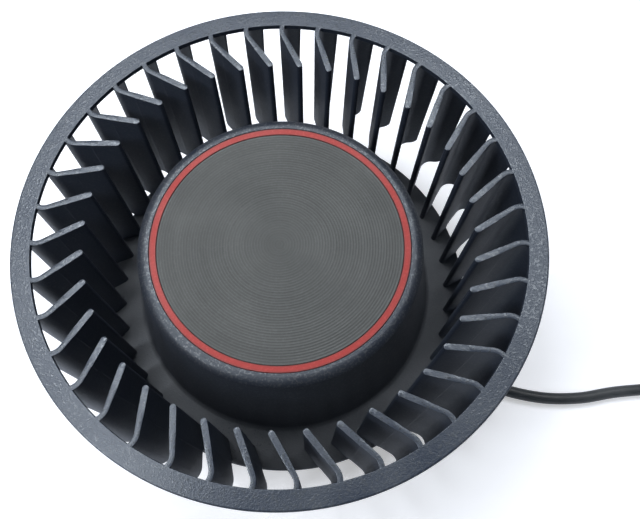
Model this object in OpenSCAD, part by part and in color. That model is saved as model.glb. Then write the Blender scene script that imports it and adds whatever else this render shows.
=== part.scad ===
// Graphics card blower fan: a one-piece radial impeller on an outer-rotor motor.
// The spin axis is +Z, the base face lies on Z = 0 and the open eye looks up.

/* [Overall] */
// Diameter over the impeller's top ring
fan_d = 75; // [72:0.5:82]
// Height from the base face to the top of the ring
fan_h = 30; // [29:0.5:36]

/* [Ring and blades] */
// Width of the flat top ring
ring_w = 2.8; // [2.2:0.1:3.4]
// Thickness of the top ring
ring_t = 0.8; // [0.8:0.1:1.6]
// Radius along the ring's outer edges
ring_round = 0.2; // [0.1:0.05:0.4]
// Number of blades
blade_count = 39; // [25:1:43]
// Angle of the first blade's root about the axis
blade_phase = 4.4; // [-4.6:0.1:4.6]
// Radial depth of the blades from the ring's inner edge to their tips
blade_span = 7.3; // [6.4:0.1:8.2]
// Blade thickness inside the mould's shut-off line
blade_t = 0.9; // [0.7:0.05:1.1]
// Height of the shut-off step on each blade face
blade_step = 0.08; // [0.03:0.01:0.12]
// Distance of the shut-off step inside the ring's inner edge
shutoff_in = 3.6; // [3:0.1:4.2]
// Lean of the straight part of a blade from the radial direction
blade_lean = 25.5; // [20:0.5:30]
// Centre-line radius of the bend at the blade's root
blade_bend_r = 2.3; // [1.8:0.1:3]
// Angle past radial at which the root crosses the ring's inner edge
blade_cross = 17; // [8:1:22]
// Angle past radial at which the root runs out under the ring
blade_hook = 49; // [40:1:55]
// Height of the blades' free lower edge above the flare
blade_lift = 1.4; // [1.3:0.1:5]
// Draft angle of the blades' outer edge
blade_draft = 1.5; // [0.5:0.1:3]
// Radius at the corners of the blades' lower edge
blade_corner = 1; // [0.5:0.1:1.2]

/* [Hub] */
// Depth of the hub face below the ring's top
hub_drop = 3.8; // [2:0.1:5]
// Hub diameter at its upper edge
hub_d = 42.2; // [41:0.2:44]
// Radius of the hub's upper edge
hub_round = 1.6; // [1:0.1:1.9]
// Thickness of the hub's side wall
hub_wall = 1.6; // [1.2:0.1:2]
// Thickness of the hub's top under its rim
hub_top_t = 2.2; // [1.8:0.1:2.8]
// Diameter at the crease where the hub meets the flare
foot_d = 48.4; // [46:0.2:50]
// Height of that crease above the base face
foot_z = 7.7; // [7.3:0.1:9]
// Distance of the flare's edge inside the ring's inner edge
flare_in = 3.8; // [3.5:0.1:4.4]
// Fall of the flare from the crease to its edge
flare_fall = 1.1; // [0.6:0.1:1.6]
// Width of the flare's lip outside the blades' feet
flare_lip = 0.2; // [0.1:0.05:0.5]
// Thickness of the flare
flare_t = 1.5; // [1:0.1:1.7]
// Radius in the crease between hub and flare
crease_round = 1; // [0.4:0.1:1.6]
// Radius of the flare's edge
flare_round = 0.25; // [0.1:0.05:0.4]
// Ribs inside the hub that grip the steel cup
rib_count = 12; // [6:1:18]
// Thickness of a rib
rib_t = 1.2; // [0.8:0.1:1.6]
// Overlap of shapes that are moulded or stamped in one
merge = 0.5; // [0.3:0.05:0.6]

/* [Hub face] */
// Diameter of the grooved face disc
face_d = 36; // [33:0.2:36.6]
// Width of the coloured ring round the disc
accent_w = 1; // [0.5:0.1:1]
// Depth of the recess that holds disc and ring
inlay_t = 0.8; // [0.5:0.1:1]
// How far the disc lies below the hub's rim
face_sink = 0.05; // [0.02:0.01:0.2]

/* [Rotor] */
// Outer diameter of the steel cup
yoke_d = 35; // [33:0.2:36]
// Sheet thickness of the cup
yoke_t = 0.8; // [0.6:0.1:1]
// How far the cup reaches below the magnet
yoke_lip = 0.5; // [0.2:0.1:1]
// Wall thickness of the ring magnet
magnet_t = 1.7; // [1.2:0.1:2]
// Height of the ring magnet
magnet_h = 9; // [7.5:0.5:10]
// Shaft diameter
shaft_d = 3; // [2.4:0.1:3.2]
// Diameter of the brass bush's collar
bush_d = 7; // [6.6:0.2:9]
// Diameter of the bush's neck in the cup and hub
bush_neck_d = 5.8; // [4.8:0.2:6]
// Height of the bush's collar
bush_collar = 2.5; // [1.5:0.1:3]
// Outer diameter of the clip in the shaft's groove
clip_d = 4.8; // [4.4:0.1:5.2]
// Thickness of the clip
clip_t = 0.4; // [0.3:0.05:0.5]
// Depth of the groove in the shaft
groove = 0.4; // [0.2:0.05:0.5]
// Width of the slot in the clip
clip_slot = 1; // [0.6:0.1:1.4]

/* [Stator] */
// Running gap between magnet and stator teeth
air_gap = 0.5; // [0.35:0.05:0.8]
// Height of the lamination stack
core_h = 7; // [5.5:0.5:8]
// Number of stator teeth
tooth_count = 6; // [4:1:6]
// Width of a tooth
tooth_w = 3; // [2.4:0.1:3.4]
// Outer diameter of the stack's inner ring
core_ring_d = 14.4; // [13.4:0.2:15]
// Thickness of the pole shoes
shoe_t = 1.5; // [1:0.1:1.8]
// Gap between neighbouring pole shoes
shoe_gap = 2.8; // [2:0.1:4]
// Thickness of the plastic insulators
insul_t = 0.6; // [0.4:0.05:0.8]
// Thickness of a winding
coil_t = 1.3; // [0.8:0.1:1.5]
// Diameter of a terminal pin
pin_d = 0.6; // [0.5:0.05:0.8]
// Number of terminal pins
pin_count = 3; // [1:1:3]
// Distance of the pins from the stack's inner ring
pin_gap = 1.2; // [1:0.1:1.6]
// Wall of the plastic boss round a pin
pin_boss_t = 0.6; // [0.4:0.1:0.7]
// How far the insulators stay back from the pole faces
insul_back = 0.3; // [0.2:0.05:0.5]
// Thickness of the rim that guards the windings
guard_t = 0.6; // [0.4:0.1:0.7]
// Room between a winding and the stack's inner ring
coil_root = 0.6; // [0.3:0.1:1]
// Room between a winding and the pole shoes
coil_end = 0.2; // [0.1:0.05:0.6]
// Corner radius of a winding
coil_round = 1; // [0.6:0.1:1.2]

/* [Bearing] */
// Outer diameter of the bearing tube
tube_d = 9; // [8.8:0.1:10]
// Outer diameter of the sleeve bearing
bearing_d = 7; // [6.4:0.1:7.2]
// Bore of the tube below the bearing
sump_d = 5.8; // [5.6:0.1:6.2]
// Depth of the sump below the bearing
sump_h = 2.6; // [2.2:0.1:3]
// Thickness of the oil seal on top of the bearing
seal_t = 0.5; // [0.3:0.1:0.8]
// Depth of the seal below the tube's upper end
seal_sink = 0.4; // [0.2:0.1:0.8]
// Thickness of the thrust pad
thrust_t = 1; // [0.6:0.1:1.4]
// Gap between the tube and the bush above it
tube_gap = 1.4; // [0.8:0.1:2]

/* [Base and circuit] */
// Diameter of the base plate
base_d = 55; // [54.2:0.2:57]
// Thickness of the base plate
base_t = 2.2; // [2:0.1:2.4]
// Diameter of the boss round the bearing tube
boss_d = 13; // [12:0.2:15]
// Height of the circuit board above the base plate
board_lift = 1.8; // [1.6:0.1:2.2]
// Diameter of the circuit board
board_d = 26.8; // [26:0.1:27]
// Thickness of the circuit board
board_t = 1; // [0.8:0.1:1.6]
// Space between the board and the lamination stack
core_lift = 5.5; // [5:0.1:6]
// Diameter of the circle through the mounting holes
screw_pcd = 48.5; // [44:0.5:49]
// Number of mounting holes
screw_count = 3; // [2:1:3]
// Angle of the first mounting hole about the axis
screw_phase = 40; // [35:1:45]
// Bore of a threaded insert
screw_d = 2.5; // [2:0.1:3]
// Outer diameter of a threaded insert
insert_d = 3.8; // [3.6:0.1:4.6]
// Diameter of the boss round an insert
insert_boss_d = 6.2; // [5.8:0.1:6.4]
// Height of the inserts and their bosses above the base face
insert_h = 4; // [3:0.1:4.2]
// Thickness of the cap that closes the bearing hole
cap_t = 1; // [0.8:0.1:1.4]
// Diameter of the cap
cap_d = 7; // [6.4:0.1:7.4]

/* [Cable] */
// Diameter of the sleeved lead
cable_d = 2; // [1.6:0.1:2]
// Length of the clip along the lead
clip_l = 4; // [3:0.1:5]
// Width of the clip
clip_w = 5; // [4.5:0.1:6]
// Height of the clip above the base plate
clip_h = 2.6; // [2.4:0.1:2.8]
// Distance of the clip from the base plate's edge
clip_inset = 0.5; // [0.2:0.1:1]
// Ways in the connector
ways = 4; // [2:1:5]
// Pitch of the connector's ways
way_pitch = 2; // [1.8:0.05:2.2]
// Length of the connector housing
housing_l = 7.5; // [6:0.1:9]
// Height of the connector housing
housing_h = 4.5; // [4:0.1:5]
// Width of a contact
contact_w = 1.1; // [0.9:0.05:1.2]
// Length of a contact
contact_l = 5.2; // [4:0.1:5.8]
// Depth of the passages for the contacts
way_depth = 5.8; // [5.8:0.1:6]
// Length of the latch ribs on the housing
latch_l = 4.9; // [3:0.1:5.8]
// Width of a latch rib
latch_w = 1; // [0.6:0.1:1.6]
// Height of a latch rib
latch_h = 0.6; // [0.3:0.1:1]

/* [Fits] */
// Gap between fixed pieces that sit in one another
slip = 0.05; // [0.03:0.01:0.08]
// Radial running clearance of the shaft in its bearing
run = 0.02; // [0.015:0.005:0.05]
// End float of the shaft over the thrust pad
float_z = 0.05; // [0.03:0.01:0.1]

/* [Hidden] */
$fn = 96;

plastic = [0.17, 0.18, 0.2];
face_grey = [0.36, 0.37, 0.38];
accent_red = [0.78, 0.2, 0.19];
steel = [0.62, 0.63, 0.65];
brass = [0.76, 0.62, 0.34];
copper = [0.72, 0.42, 0.22];
board_green = [0.1, 0.3, 0.2];
chip_black = [0.08, 0.08, 0.09];
insulator_white = [0.86, 0.85, 0.8];
cable_grey = [0.2, 0.21, 0.23];

// Levels up the axis
board_z = base_t + board_lift;
board_top = board_z + board_t;
ring_z = fan_h - ring_t;
hub_z = fan_h - hub_drop;
inlay_z = hub_z - inlay_t;
yoke_top = hub_z - hub_top_t;
collar_z = yoke_top - yoke_t - bush_collar;
tube_top = collar_z - tube_gap;
core_z = board_top + core_lift;
core_top = core_z + core_h;
magnet_z = core_z + core_h / 2 - magnet_h / 2;
yoke_z = magnet_z - yoke_lip;
tube_z = cap_t;
thrust_top = tube_z + thrust_t;
bearing_z = thrust_top + sump_h;
bearing_top = tube_top - seal_sink - seal_t;
shaft_z = thrust_top + float_z;
groove_z = bearing_z - sump_h / 2;

// Radii from the rim inwards
rim_r = fan_d / 2;
ring_in_r = rim_r - ring_w;
eye_r = ring_in_r - blade_span;
shutoff_r = ring_in_r - shutoff_in;
flare_r = ring_in_r - flare_in;
foot_r = foot_d / 2;
hub_r = hub_d / 2;
accent_in = face_d / 2 + slip;
accent_out = accent_in + accent_w;
yoke_r = yoke_d / 2;
magnet_r = yoke_r - yoke_t - slip;
core_r = magnet_r - magnet_t - air_gap;
tube_r = tube_d / 2;
bearing_r = bearing_d / 2;
shaft_r = shaft_d / 2;
core_ring_r = core_ring_d / 2;
shoe_in_r = core_r - shoe_t;

// Points on an arc in the plane of a section
function arc(c, r, from, to, steps) =
    [for (i = [0:steps]) c + r * [cos(from + (to - from) * i / steps), sin(from + (to - from) * i / steps)]];

// Arc of radius r that rounds the corner at p between the edges from a and to b
function unit(v) = v / norm(v);
function corner(a, p, b, r, steps = 6) = let (
    u = unit(a - p),
    v = unit(b - p),
    half = acos(u * v) / 2,
    c = p + unit(u + v) * r / sin(half),
    from = atan2((p + u * r / tan(half) - c)[1], (p + u * r / tan(half) - c)[0]),
    turn = (180 - 2 * half) * sign(cross(p - a, b - p))
) arc(c, r, from, from + turn, steps);

// Solid of revolution between two radii
module band(r_in, r_out, z, h) {
    translate([0, 0, z]) rotate_extrude() translate([r_in, 0]) square([r_out - r_in, h]);
}

module round_rect(size, r) {
    square([size[0] - 2 * r, size[1]], center = true);
    square([size[0], size[1] - 2 * r], center = true);
    for (x = [-1, 1], y = [-1, 1])
        translate([x * (size[0] / 2 - r), y * (size[1] / 2 - r)]) circle(r);
}

// Blade plan: a straight leaning part, a bend, then a root that hooks out under the ring.
// The bend crosses the ring's inner edge on the X axis.
straight_dir = [cos(blade_lean), sin(blade_lean)];
hook_dir = [cos(blade_hook), -sin(blade_hook)];
bend_c = [ring_in_r, 0] - blade_bend_r * [sin(blade_cross), cos(blade_cross)];
bend_start = bend_c + blade_bend_r * [-straight_dir[1], straight_dir[0]];
bend_end = bend_c + blade_bend_r * [-hook_dir[1], hook_dir[0]];
// The point at radius r on the line through p
function on_line(p, dir, r) = p + (sqrt(pow(p * dir, 2) - p * p + r * r) - p * dir) * dir;
tip_c = on_line(bend_start, straight_dir, eye_r + blade_t / 2);
step_c = on_line(bend_start, straight_dir, shutoff_r);
root_end = on_line(bend_end, hook_dir, rim_r + blade_t);
half_in = blade_t / 2;
half_out = half_in - blade_step;

// One face of the blade from the shut-off step to the root, on side +1 or -1
function face_points(side) = concat(
    [step_c + side * half_in * [-straight_dir[1], straight_dir[0]]],
    [step_c + side * half_out * [-straight_dir[1], straight_dir[0]]],
    arc(bend_c, blade_bend_r + side * half_out, 90 + blade_lean, 90 - blade_hook, 8),
    [root_end + side * half_out * [-hook_dir[1], hook_dir[0]]]
);
function reversed(list) = [for (i = [len(list) - 1:-1:0]) list[i]];
blade_plan = concat(
    arc(tip_c, half_in, 90 + blade_lean, 270 + blade_lean, 6),
    face_points(-1),
    reversed(face_points(1))
);

// Blade side view, radius against height: foot on the flare, notch over its edge, free lower edge,
// drafted outer edge from the end of the ring's flat underside, then the ring's inner edge
notch_r = flare_r - flare_lip;
function flare_at(r) = foot_z - flare_fall * (r - foot_r) / (flare_r - foot_r);
blade_low_z = flare_at(notch_r) + blade_lift;
edge_top_r = rim_r - ring_round;
edge_low_r = edge_top_r - (ring_z - blade_low_z) * tan(blade_draft);
clear_r = max(eye_r - 1, foot_r);
blade_side = concat(
    [[eye_r - 1, fan_h], [clear_r, flare_at(clear_r)], [notch_r, flare_at(notch_r)]],
    corner([notch_r, flare_at(notch_r)], [notch_r, blade_low_z], [edge_low_r, blade_low_z], blade_corner),
    corner([notch_r, blade_low_z], [edge_low_r, blade_low_z], [edge_top_r, ring_z], blade_corner),
    [[edge_top_r, ring_z], [ring_in_r, ring_z], [ring_in_r, fan_h]]
);

module blade() {
    intersection() {
        linear_extrude(fan_h) polygon(blade_plan);
        rotate_extrude() polygon(blade_side);
    }
}

// Hub, crease and flare in section
wall_slope = (foot_r - hub_r) / (hub_z - hub_round - foot_z);
function wall_at(z) = hub_r + (hub_z - hub_round - z) * wall_slope;
flare_top = [flare_r, flare_at(flare_r)];
flare_under = flare_top - [0, flare_t];
foot = [foot_r, foot_z];
hub_section = concat(
    [[bush_neck_d / 2 + slip, yoke_top], [bush_neck_d / 2 + slip, inlay_z]],
    [[accent_out + slip, inlay_z], [accent_out + slip, hub_z]],
    arc([hub_r - hub_round, hub_z - hub_round], hub_round, 90, 0, 6),
    corner([hub_r, hub_z - hub_round], foot, flare_top, crease_round),
    corner(foot, flare_top, flare_under, flare_round, 3),
    corner(flare_top, flare_under, [foot_r, foot_z - flare_t], flare_round, 3),
    [[wall_at(foot_z - flare_t) - hub_wall, foot_z - flare_t], [wall_at(yoke_top) - hub_wall, yoke_top]]
);
ring_section = concat(
    [[ring_in_r, ring_z]],
    corner([ring_in_r, ring_z], [rim_r, ring_z], [rim_r, fan_h], ring_round, 3),
    corner([rim_r, ring_z], [rim_r, fan_h], [ring_in_r, fan_h], ring_round, 3),
    [[ring_in_r, fan_h]]
);
rib_section = [
    [yoke_r + slip, yoke_z], [wall_at(yoke_z) - hub_wall / 2, yoke_z],
    [wall_at(yoke_top) - hub_wall / 2, yoke_top + merge], [yoke_r + slip, yoke_top + merge]
];

module ribs() {
    intersection() {
        rotate_extrude() polygon(rib_section);
        for (k = [0:rib_count - 1])
            rotate(k * 360 / rib_count)
                translate([0, -rib_t / 2, 0]) cube([foot_r, rib_t, fan_h]);
    }
}

// The impeller is one moulding, drawn as hub, blades and ring that meet face to face
module impeller_hub() {
    color(plastic) union() {
        rotate_extrude() polygon(hub_section);
        ribs();
    }
}

module impeller_blades() {
    color(plastic) for (k = [0:blade_count - 1])
        rotate(blade_phase + k * 360 / blade_count) blade();
}

module impeller_ring() {
    color(plastic) rotate_extrude() polygon(ring_section);
}

module hub_disc() {
    color(face_grey) translate([0, 0, inlay_z]) cylinder(d = face_d, h = inlay_t - face_sink);
}

module accent_ring() {
    color(accent_red) band(accent_in, accent_out, inlay_z, inlay_t);
}

// Deep-drawn steel cup with a hole for the bush's neck
module rotor_yoke() {
    color(steel) rotate_extrude() polygon([
        [bush_neck_d / 2 + slip, yoke_top - yoke_t], [bush_neck_d / 2 + slip, yoke_top],
        [yoke_r, yoke_top], [yoke_r, yoke_z], [yoke_r - yoke_t, yoke_z], [yoke_r - yoke_t, yoke_top - yoke_t]
    ]);
}

module magnet_ring() {
    color(chip_black) band(magnet_r - magnet_t, magnet_r, magnet_z, magnet_h);
}

module shaft_bush() {
    color(brass) rotate_extrude() polygon([
        [shaft_r, collar_z], [bush_d / 2, collar_z], [bush_d / 2, yoke_top - yoke_t],
        [bush_neck_d / 2, yoke_top - yoke_t], [bush_neck_d / 2, inlay_z], [shaft_r, inlay_z]
    ]);
}

module shaft() {
    color(steel) rotate_extrude() polygon([
        [0, shaft_z], [shaft_r, shaft_z],
        [shaft_r, groove_z - clip_t / 2 - slip], [shaft_r - groove, groove_z - clip_t / 2 - slip],
        [shaft_r - groove, groove_z + clip_t / 2 + slip], [shaft_r, groove_z + clip_t / 2 + slip],
        [shaft_r, inlay_z], [0, inlay_z]
    ]);
}

// Split washer that keeps the shaft from lifting out of its bearing
module shaft_clip() {
    color(chip_black) difference() {
        band(shaft_r - groove + slip, clip_d / 2, groove_z - clip_t / 2, clip_t);
        translate([0, -clip_slot / 2, groove_z - clip_t]) cube([clip_d, clip_slot, 2 * clip_t]);
    }
}

module at_screws() {
    for (k = [0:screw_count - 1])
        rotate(screw_phase + k * 360 / screw_count) translate([screw_pcd / 2, 0, 0]) children();
}

module base_plate() {
    color(plastic) difference() {
        union() {
            cylinder(d = base_d, h = base_t);
            cylinder(d = boss_d, h = board_z);
            at_screws() cylinder(d = insert_boss_d, h = insert_h);
        }
        translate([0, 0, -1]) cylinder(d = cap_d + 2 * slip, h = tube_z + 1);
        translate([0, 0, tube_z]) cylinder(r = tube_r + slip, h = board_z);
        at_screws() translate([0, 0, -1]) cylinder(d = insert_d + 2 * slip, h = insert_h + 2);
    }
}

module threaded_inserts() {
    color(brass) at_screws() band(screw_d / 2, insert_d / 2, 0, insert_h);
}

module bottom_cap() {
    color(chip_black) cylinder(d = cap_d, h = cap_t);
}

module thrust_pad() {
    color(insulator_white) translate([0, 0, tube_z]) cylinder(d = sump_d - 2 * slip, h = thrust_t);
}

// Tube with a wide seat for the bearing above a narrower sump
module bearing_tube() {
    color(brass) rotate_extrude() polygon([
        [sump_d / 2, tube_z], [tube_r, tube_z], [tube_r, tube_top], [bearing_r + slip, tube_top],
        [bearing_r + slip, bearing_z], [sump_d / 2, bearing_z]
    ]);
}

module sleeve_bearing() {
    color(copper) band(shaft_r + run, bearing_r, bearing_z, bearing_top - bearing_z);
}

module oil_seal() {
    color(insulator_white) band(shaft_r + 10 * run, bearing_r, bearing_top, seal_t);
}

// Outline of the laminations: inner ring, teeth and pole shoes
shoe_half = 180 / tooth_count - asin(shoe_gap / 2 / core_r);

module core_outline(inner_r, outer_r, width) {
    difference() {
        circle(core_ring_r);
        circle(inner_r);
    }
    for (k = [0:tooth_count - 1]) rotate(k * 360 / tooth_count) {
        translate([core_ring_r - merge, -width / 2])
            square([shoe_in_r - core_ring_r + 2 * merge, width]);
        intersection() {
            difference() {
                circle(outer_r);
                circle(shoe_in_r);
            }
            polygon([[0, 0], 2 * core_r * [cos(shoe_half), -sin(shoe_half)], [2 * core_r, 0],
                2 * core_r * [cos(shoe_half), sin(shoe_half)]]);
        }
    }
}

module stator_core() {
    color(steel) translate([0, 0, core_z])
        linear_extrude(core_h) core_outline(tube_r + slip, core_r, tooth_w);
}

// End plate over the laminations, set back a little from the pole faces
module end_plate() {
    linear_extrude(insul_t) core_outline(tube_r + slip, core_r - insul_back, tooth_w);
}

module upper_insulator() {
    color(insulator_white) union() {
        translate([0, 0, core_top]) end_plate();
        band(shoe_in_r + slip, shoe_in_r + slip + guard_t, core_top + insul_t / 2, coil_t + insul_t / 2);
    }
}

// Places a pin in each slot that has one, midway between two teeth
pin_r = core_ring_r + pin_gap;
pin_boss_r = pin_d / 2 + pin_boss_t;
module at_pins() {
    for (k = [0:pin_count - 1])
        rotate((floor(k * tooth_count / pin_count) + 0.5) * 360 / tooth_count)
            translate([pin_r, 0, 0]) children();
}

// Lower end plate, with the sleeve that stands on the board and a boss for each pin
module lower_insulator() {
    color(insulator_white) union() {
        translate([0, 0, core_z - insul_t]) end_plate();
        band(tube_r + slip, boss_d / 2, board_top, core_lift - insul_t / 2);
        at_pins() translate([0, 0, core_z - insul_t]) {
            cylinder(r = pin_boss_r, h = insul_t);
            translate([core_ring_r - pin_r - merge, -pin_boss_r / 2, 0])
                cube([pin_r - core_ring_r + merge, pin_boss_r, insul_t]);
        }
    }
}

// Copper winding round each tooth, between the inner ring and the pole shoes
coil_bore = [tooth_w + 2 * slip, core_h + 2 * insul_t + 2 * slip];
coil_half_w = coil_bore[0] / 2 + coil_t;
coil_in_r = core_ring_r + coil_root;
coil_out_r = sqrt(pow(shoe_in_r, 2) - pow(coil_half_w, 2)) - coil_end;

module coils() {
    color(copper) for (k = [0:tooth_count - 1])
        rotate(k * 360 / tooth_count)
            translate([coil_in_r, 0, core_z + core_h / 2])
                rotate([90, 0, 90])
                    linear_extrude(coil_out_r - coil_in_r) difference() {
                        round_rect(coil_bore + 2 * coil_t * [1, 1], coil_round);
                        square(coil_bore, center = true);
                    }
}

module terminal_pins() {
    color(brass) at_pins() translate([0, 0, board_top]) cylinder(d = pin_d, h = core_lift - insul_t);
}

module circuit_board() {
    color(board_green) band(tube_r + slip, board_d / 2, board_z, board_t);
}

// Pieces soldered on the board, on a circle midway between the boss and the board's edge
part_r = (boss_d / 2 + board_d / 2) / 2;
chip_angle = 330;
chip_w = 3.9;
chip_l = 4.9;
chip_h = 1.4;
chip_feet = 4;
foot_l = 1;
lead_pitch = 1.27;
lead_t = 0.2;
lead_w = 0.4;

module driver_chip() {
    color(chip_black) rotate(chip_angle) translate([part_r, 0, board_top]) {
        translate([-chip_w / 2, -chip_l / 2, lead_t]) cube([chip_w, chip_l, chip_h]);
        for (side = [-1, 1], i = [0:chip_feet - 1])
            translate([side * chip_w / 2, (i - (chip_feet - 1) / 2) * lead_pitch, lead_t / 2])
                cube([foot_l, lead_w, lead_t], center = true);
    }
}

// Sensor on three straight legs, under the magnet's edge
sensor_angle = 90;
sensor_w = 4;
sensor_t = 1.4;
sensor_h = 1.8;
sensor_lift = 1;
module hall_sensor() {
    color(chip_black) rotate(sensor_angle) translate([board_d / 2 - sensor_t, 0, board_top]) {
        translate([-sensor_t / 2, -sensor_w / 2, sensor_lift]) cube([sensor_t, sensor_w, sensor_h]);
        for (i = [-1:1]) translate([0, i * lead_pitch, 0]) cylinder(d = lead_w, h = sensor_lift);
    }
}

// Resistors and capacitors
small_angles = [20, 45, 200, 225, 250, 290];
small_size = [1.2, 2, 0.8];
module chip_parts() {
    color(insulator_white) for (a = small_angles)
        rotate(a) translate([part_r - small_size[0] / 2, -small_size[1] / 2, board_top]) cube(small_size);
}

// The lead lies flat over the base, drops past its edge, then lies on the floor and turns back once
lead_z = base_t + cable_d / 2 + slip;
floor_z = cable_d / 2 + slip;
clip_r = base_d / 2 - clip_l / 2 - clip_inset;
lead_dir = -26;
lead_start = board_d / 2 + 4 * slip;
function out(r, z) = [r * cos(lead_dir), r * sin(lead_dir), z];
bend_mid = [78, -7];
bend_r = 12;
route = concat(
    [out(lead_start, lead_z), out(20, lead_z), out(clip_r, lead_z), out(base_d / 2 + 0.5, lead_z)],
    [[28.5, -13.9, lead_z - 0.3], [31, -15.1, floor_z + 0.9], [34, -16.6, floor_z + 0.1]],
    [[38.5, -18.6, floor_z], [44.5, -20, floor_z], [50.5, -20.2, floor_z]],
    [[56, -19.5, floor_z], [61, -19.2, floor_z], [70, -19, floor_z]],
    [for (a = [-90:15:75]) [bend_mid[0] + bend_r * cos(a), bend_mid[1] + bend_r * sin(a), floor_z]],
    [[bend_mid[0], bend_mid[1] + bend_r, floor_z]]
);

// Ring of points round the route at point i, square to the path
sides = 8;
last = len(route) - 1;
function heading(i) = i == last ? [-1, 0, 0] : unit(route[i + 1] - route[max(i - 1, 0)]);
function across(i) = unit(cross([0, 0, 1], heading(i)));
function spoke(i, a) = cos(a) * across(i) + sin(a) * cross(heading(i), across(i));
function ring_at(i) = [for (k = [0:sides - 1]) route[i] + cable_d / 2 * spoke(i, k * 360 / sides)];
cable_points = [for (i = [0:last]) each ring_at(i)];
cable_faces = concat(
    [[for (k = [sides - 1:-1:0]) k]],
    [for (i = [0:last - 1], k = [0:sides - 1])
        [i * sides + k, i * sides + (k + 1) % sides, (i + 1) * sides + (k + 1) % sides, (i + 1) * sides + k]],
    [[for (k = [0:sides - 1]) last * sides + k]]
);

module cable() {
    color(cable_grey) polyhedron(cable_points, [for (f = cable_faces) reversed(f)]);
}

// Saddle that holds the lead down on the base, open towards the plate
hold_r = cable_d / 2 + slip;
module cable_clip() {
    color(plastic) rotate(lead_dir) translate([clip_r, 0, 0]) difference() {
        translate([-clip_l / 2, -clip_w / 2, base_t]) cube([clip_l, clip_w, clip_h]);
        translate([-clip_l, 0, lead_z]) rotate([0, 90, 0]) cylinder(r = hold_r, h = 2 * clip_l);
        translate([-clip_l, -hold_r, 0]) cube([2 * clip_l, 2 * hold_r, lead_z]);
    }
}

housing_w = (ways + 1) * way_pitch;
lead_end = route[last];
// Places the connector behind the lead's end, pointing along -X
module at_lead_end() {
    translate([lead_end[0], lead_end[1], 0]) rotate(180) children();
}

// Square bars in a row, one in each way, from the bottom of the passages outwards
module in_ways(w, l) {
    for (i = [0:ways - 1])
        translate([housing_l - way_depth, (i - (ways - 1) / 2) * way_pitch - w / 2, housing_h / 2 - w / 2])
            cube([l, w, w]);
}

module connector_housing() {
    color(insulator_white) at_lead_end() difference() {
        union() {
            translate([0, -housing_w / 2, 0]) cube([housing_l, housing_w, housing_h]);
            for (side = [-1, 1])
                translate([housing_l - latch_l, side * housing_w / 4 - latch_w / 2, housing_h - merge])
                    cube([latch_l, latch_w, latch_h + merge]);
        }
        in_ways(contact_w + 2 * slip, way_depth + 1);
    }
}

module connector_contacts() {
    color(brass) at_lead_end() in_ways(contact_w, contact_l);
}

impeller_hub();
impeller_blades();
impeller_ring();
hub_disc();
accent_ring();
rotor_yoke();
magnet_ring();
shaft_bush();
shaft();
shaft_clip();
base_plate();
threaded_inserts();
bottom_cap();
thrust_pad();
bearing_tube();
sleeve_bearing();
oil_seal();
stator_core();
upper_insulator();
lower_insulator();
coils();
terminal_pins();
circuit_board();
driver_chip();
hall_sensor();
chip_parts();
cable_clip();
cable();
connector_housing();
connector_contacts();
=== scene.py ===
# %% [markdown]
# # A radial blower wheel
# The fan of a graphics card is a drum of upright blades round a motor hub. This lesson dresses the packed
# construction: the wheel, its face, the lead and every motor part get the shape and finish of the real ones.
# The construction is loaded first and never moved, so each new piece goes where the frame says.

# %% Load the frame
import math

import bmesh
import bpy
import numpy as np
from mathutils import Matrix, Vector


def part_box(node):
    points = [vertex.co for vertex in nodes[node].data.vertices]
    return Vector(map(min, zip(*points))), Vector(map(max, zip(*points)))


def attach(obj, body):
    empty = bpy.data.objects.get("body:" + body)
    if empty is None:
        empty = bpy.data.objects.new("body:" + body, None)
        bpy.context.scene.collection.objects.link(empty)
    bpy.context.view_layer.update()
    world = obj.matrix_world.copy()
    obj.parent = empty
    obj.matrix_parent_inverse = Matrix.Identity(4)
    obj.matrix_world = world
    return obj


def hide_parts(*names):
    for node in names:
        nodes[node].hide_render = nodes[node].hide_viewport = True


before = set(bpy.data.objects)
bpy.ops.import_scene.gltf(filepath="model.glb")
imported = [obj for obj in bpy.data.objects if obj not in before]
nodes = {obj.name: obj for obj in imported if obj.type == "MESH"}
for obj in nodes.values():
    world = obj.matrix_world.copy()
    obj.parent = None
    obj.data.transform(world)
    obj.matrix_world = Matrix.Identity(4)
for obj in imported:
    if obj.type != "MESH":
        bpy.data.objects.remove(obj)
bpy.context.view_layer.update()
scene = bpy.context.scene
print("nodes in the frame:", len(nodes))

# %% [markdown]
# ## Sizes
# The frame gives the outer sizes. The few that a bounding box can't tell, such as the lean of a blade,
# are written here once, in millimetres, and turned into metres.

# %% Sizes
MM = 0.001
wheel_high = np.array(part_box("impeller_ring")[1])
rim_r = wheel_high[0]
top_z = wheel_high[2]
face_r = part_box("hub_disc")[1].x
face_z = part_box("hub_disc")[1].z
inlay_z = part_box("hub_disc")[0].z
accent_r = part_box("accent_ring")[1].x
hub_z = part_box("accent_ring")[1].z
base_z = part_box("base_plate")[0].z
yoke_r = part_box("rotor_yoke")[1].x
yoke_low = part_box("rotor_yoke")[0].z
yoke_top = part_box("rotor_yoke")[1].z
bush_neck_r = 2.9 * MM
slip = 0.05 * MM
ring_w = 2.8 * MM
ring_t = 0.8 * MM
ring_in = rim_r - ring_w
ring_z = top_z - ring_t
print("wheel: %.1f mm wide, top at %.1f mm" % (2 * rim_r / MM, top_z / MM))

# %% [markdown]
# ## Camera
# The photograph was taken from close above. The place and angle come from fitting the ring, the blade tips
# and the upright blade edges. The picture is cropped off-centre, so the lens has a small shift.

# %% Camera
PHOTO_W, PHOTO_H = 640, 519
FOCAL_PX = 654.2
AXIS_PX = (303.3, 328.2)
SENSOR = 36.0
camera_place = (2.921 * MM, -37.695 * MM, 114.189 * MM)
camera_tilt, camera_roll = math.radians(15.807), math.radians(-2.255)

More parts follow.
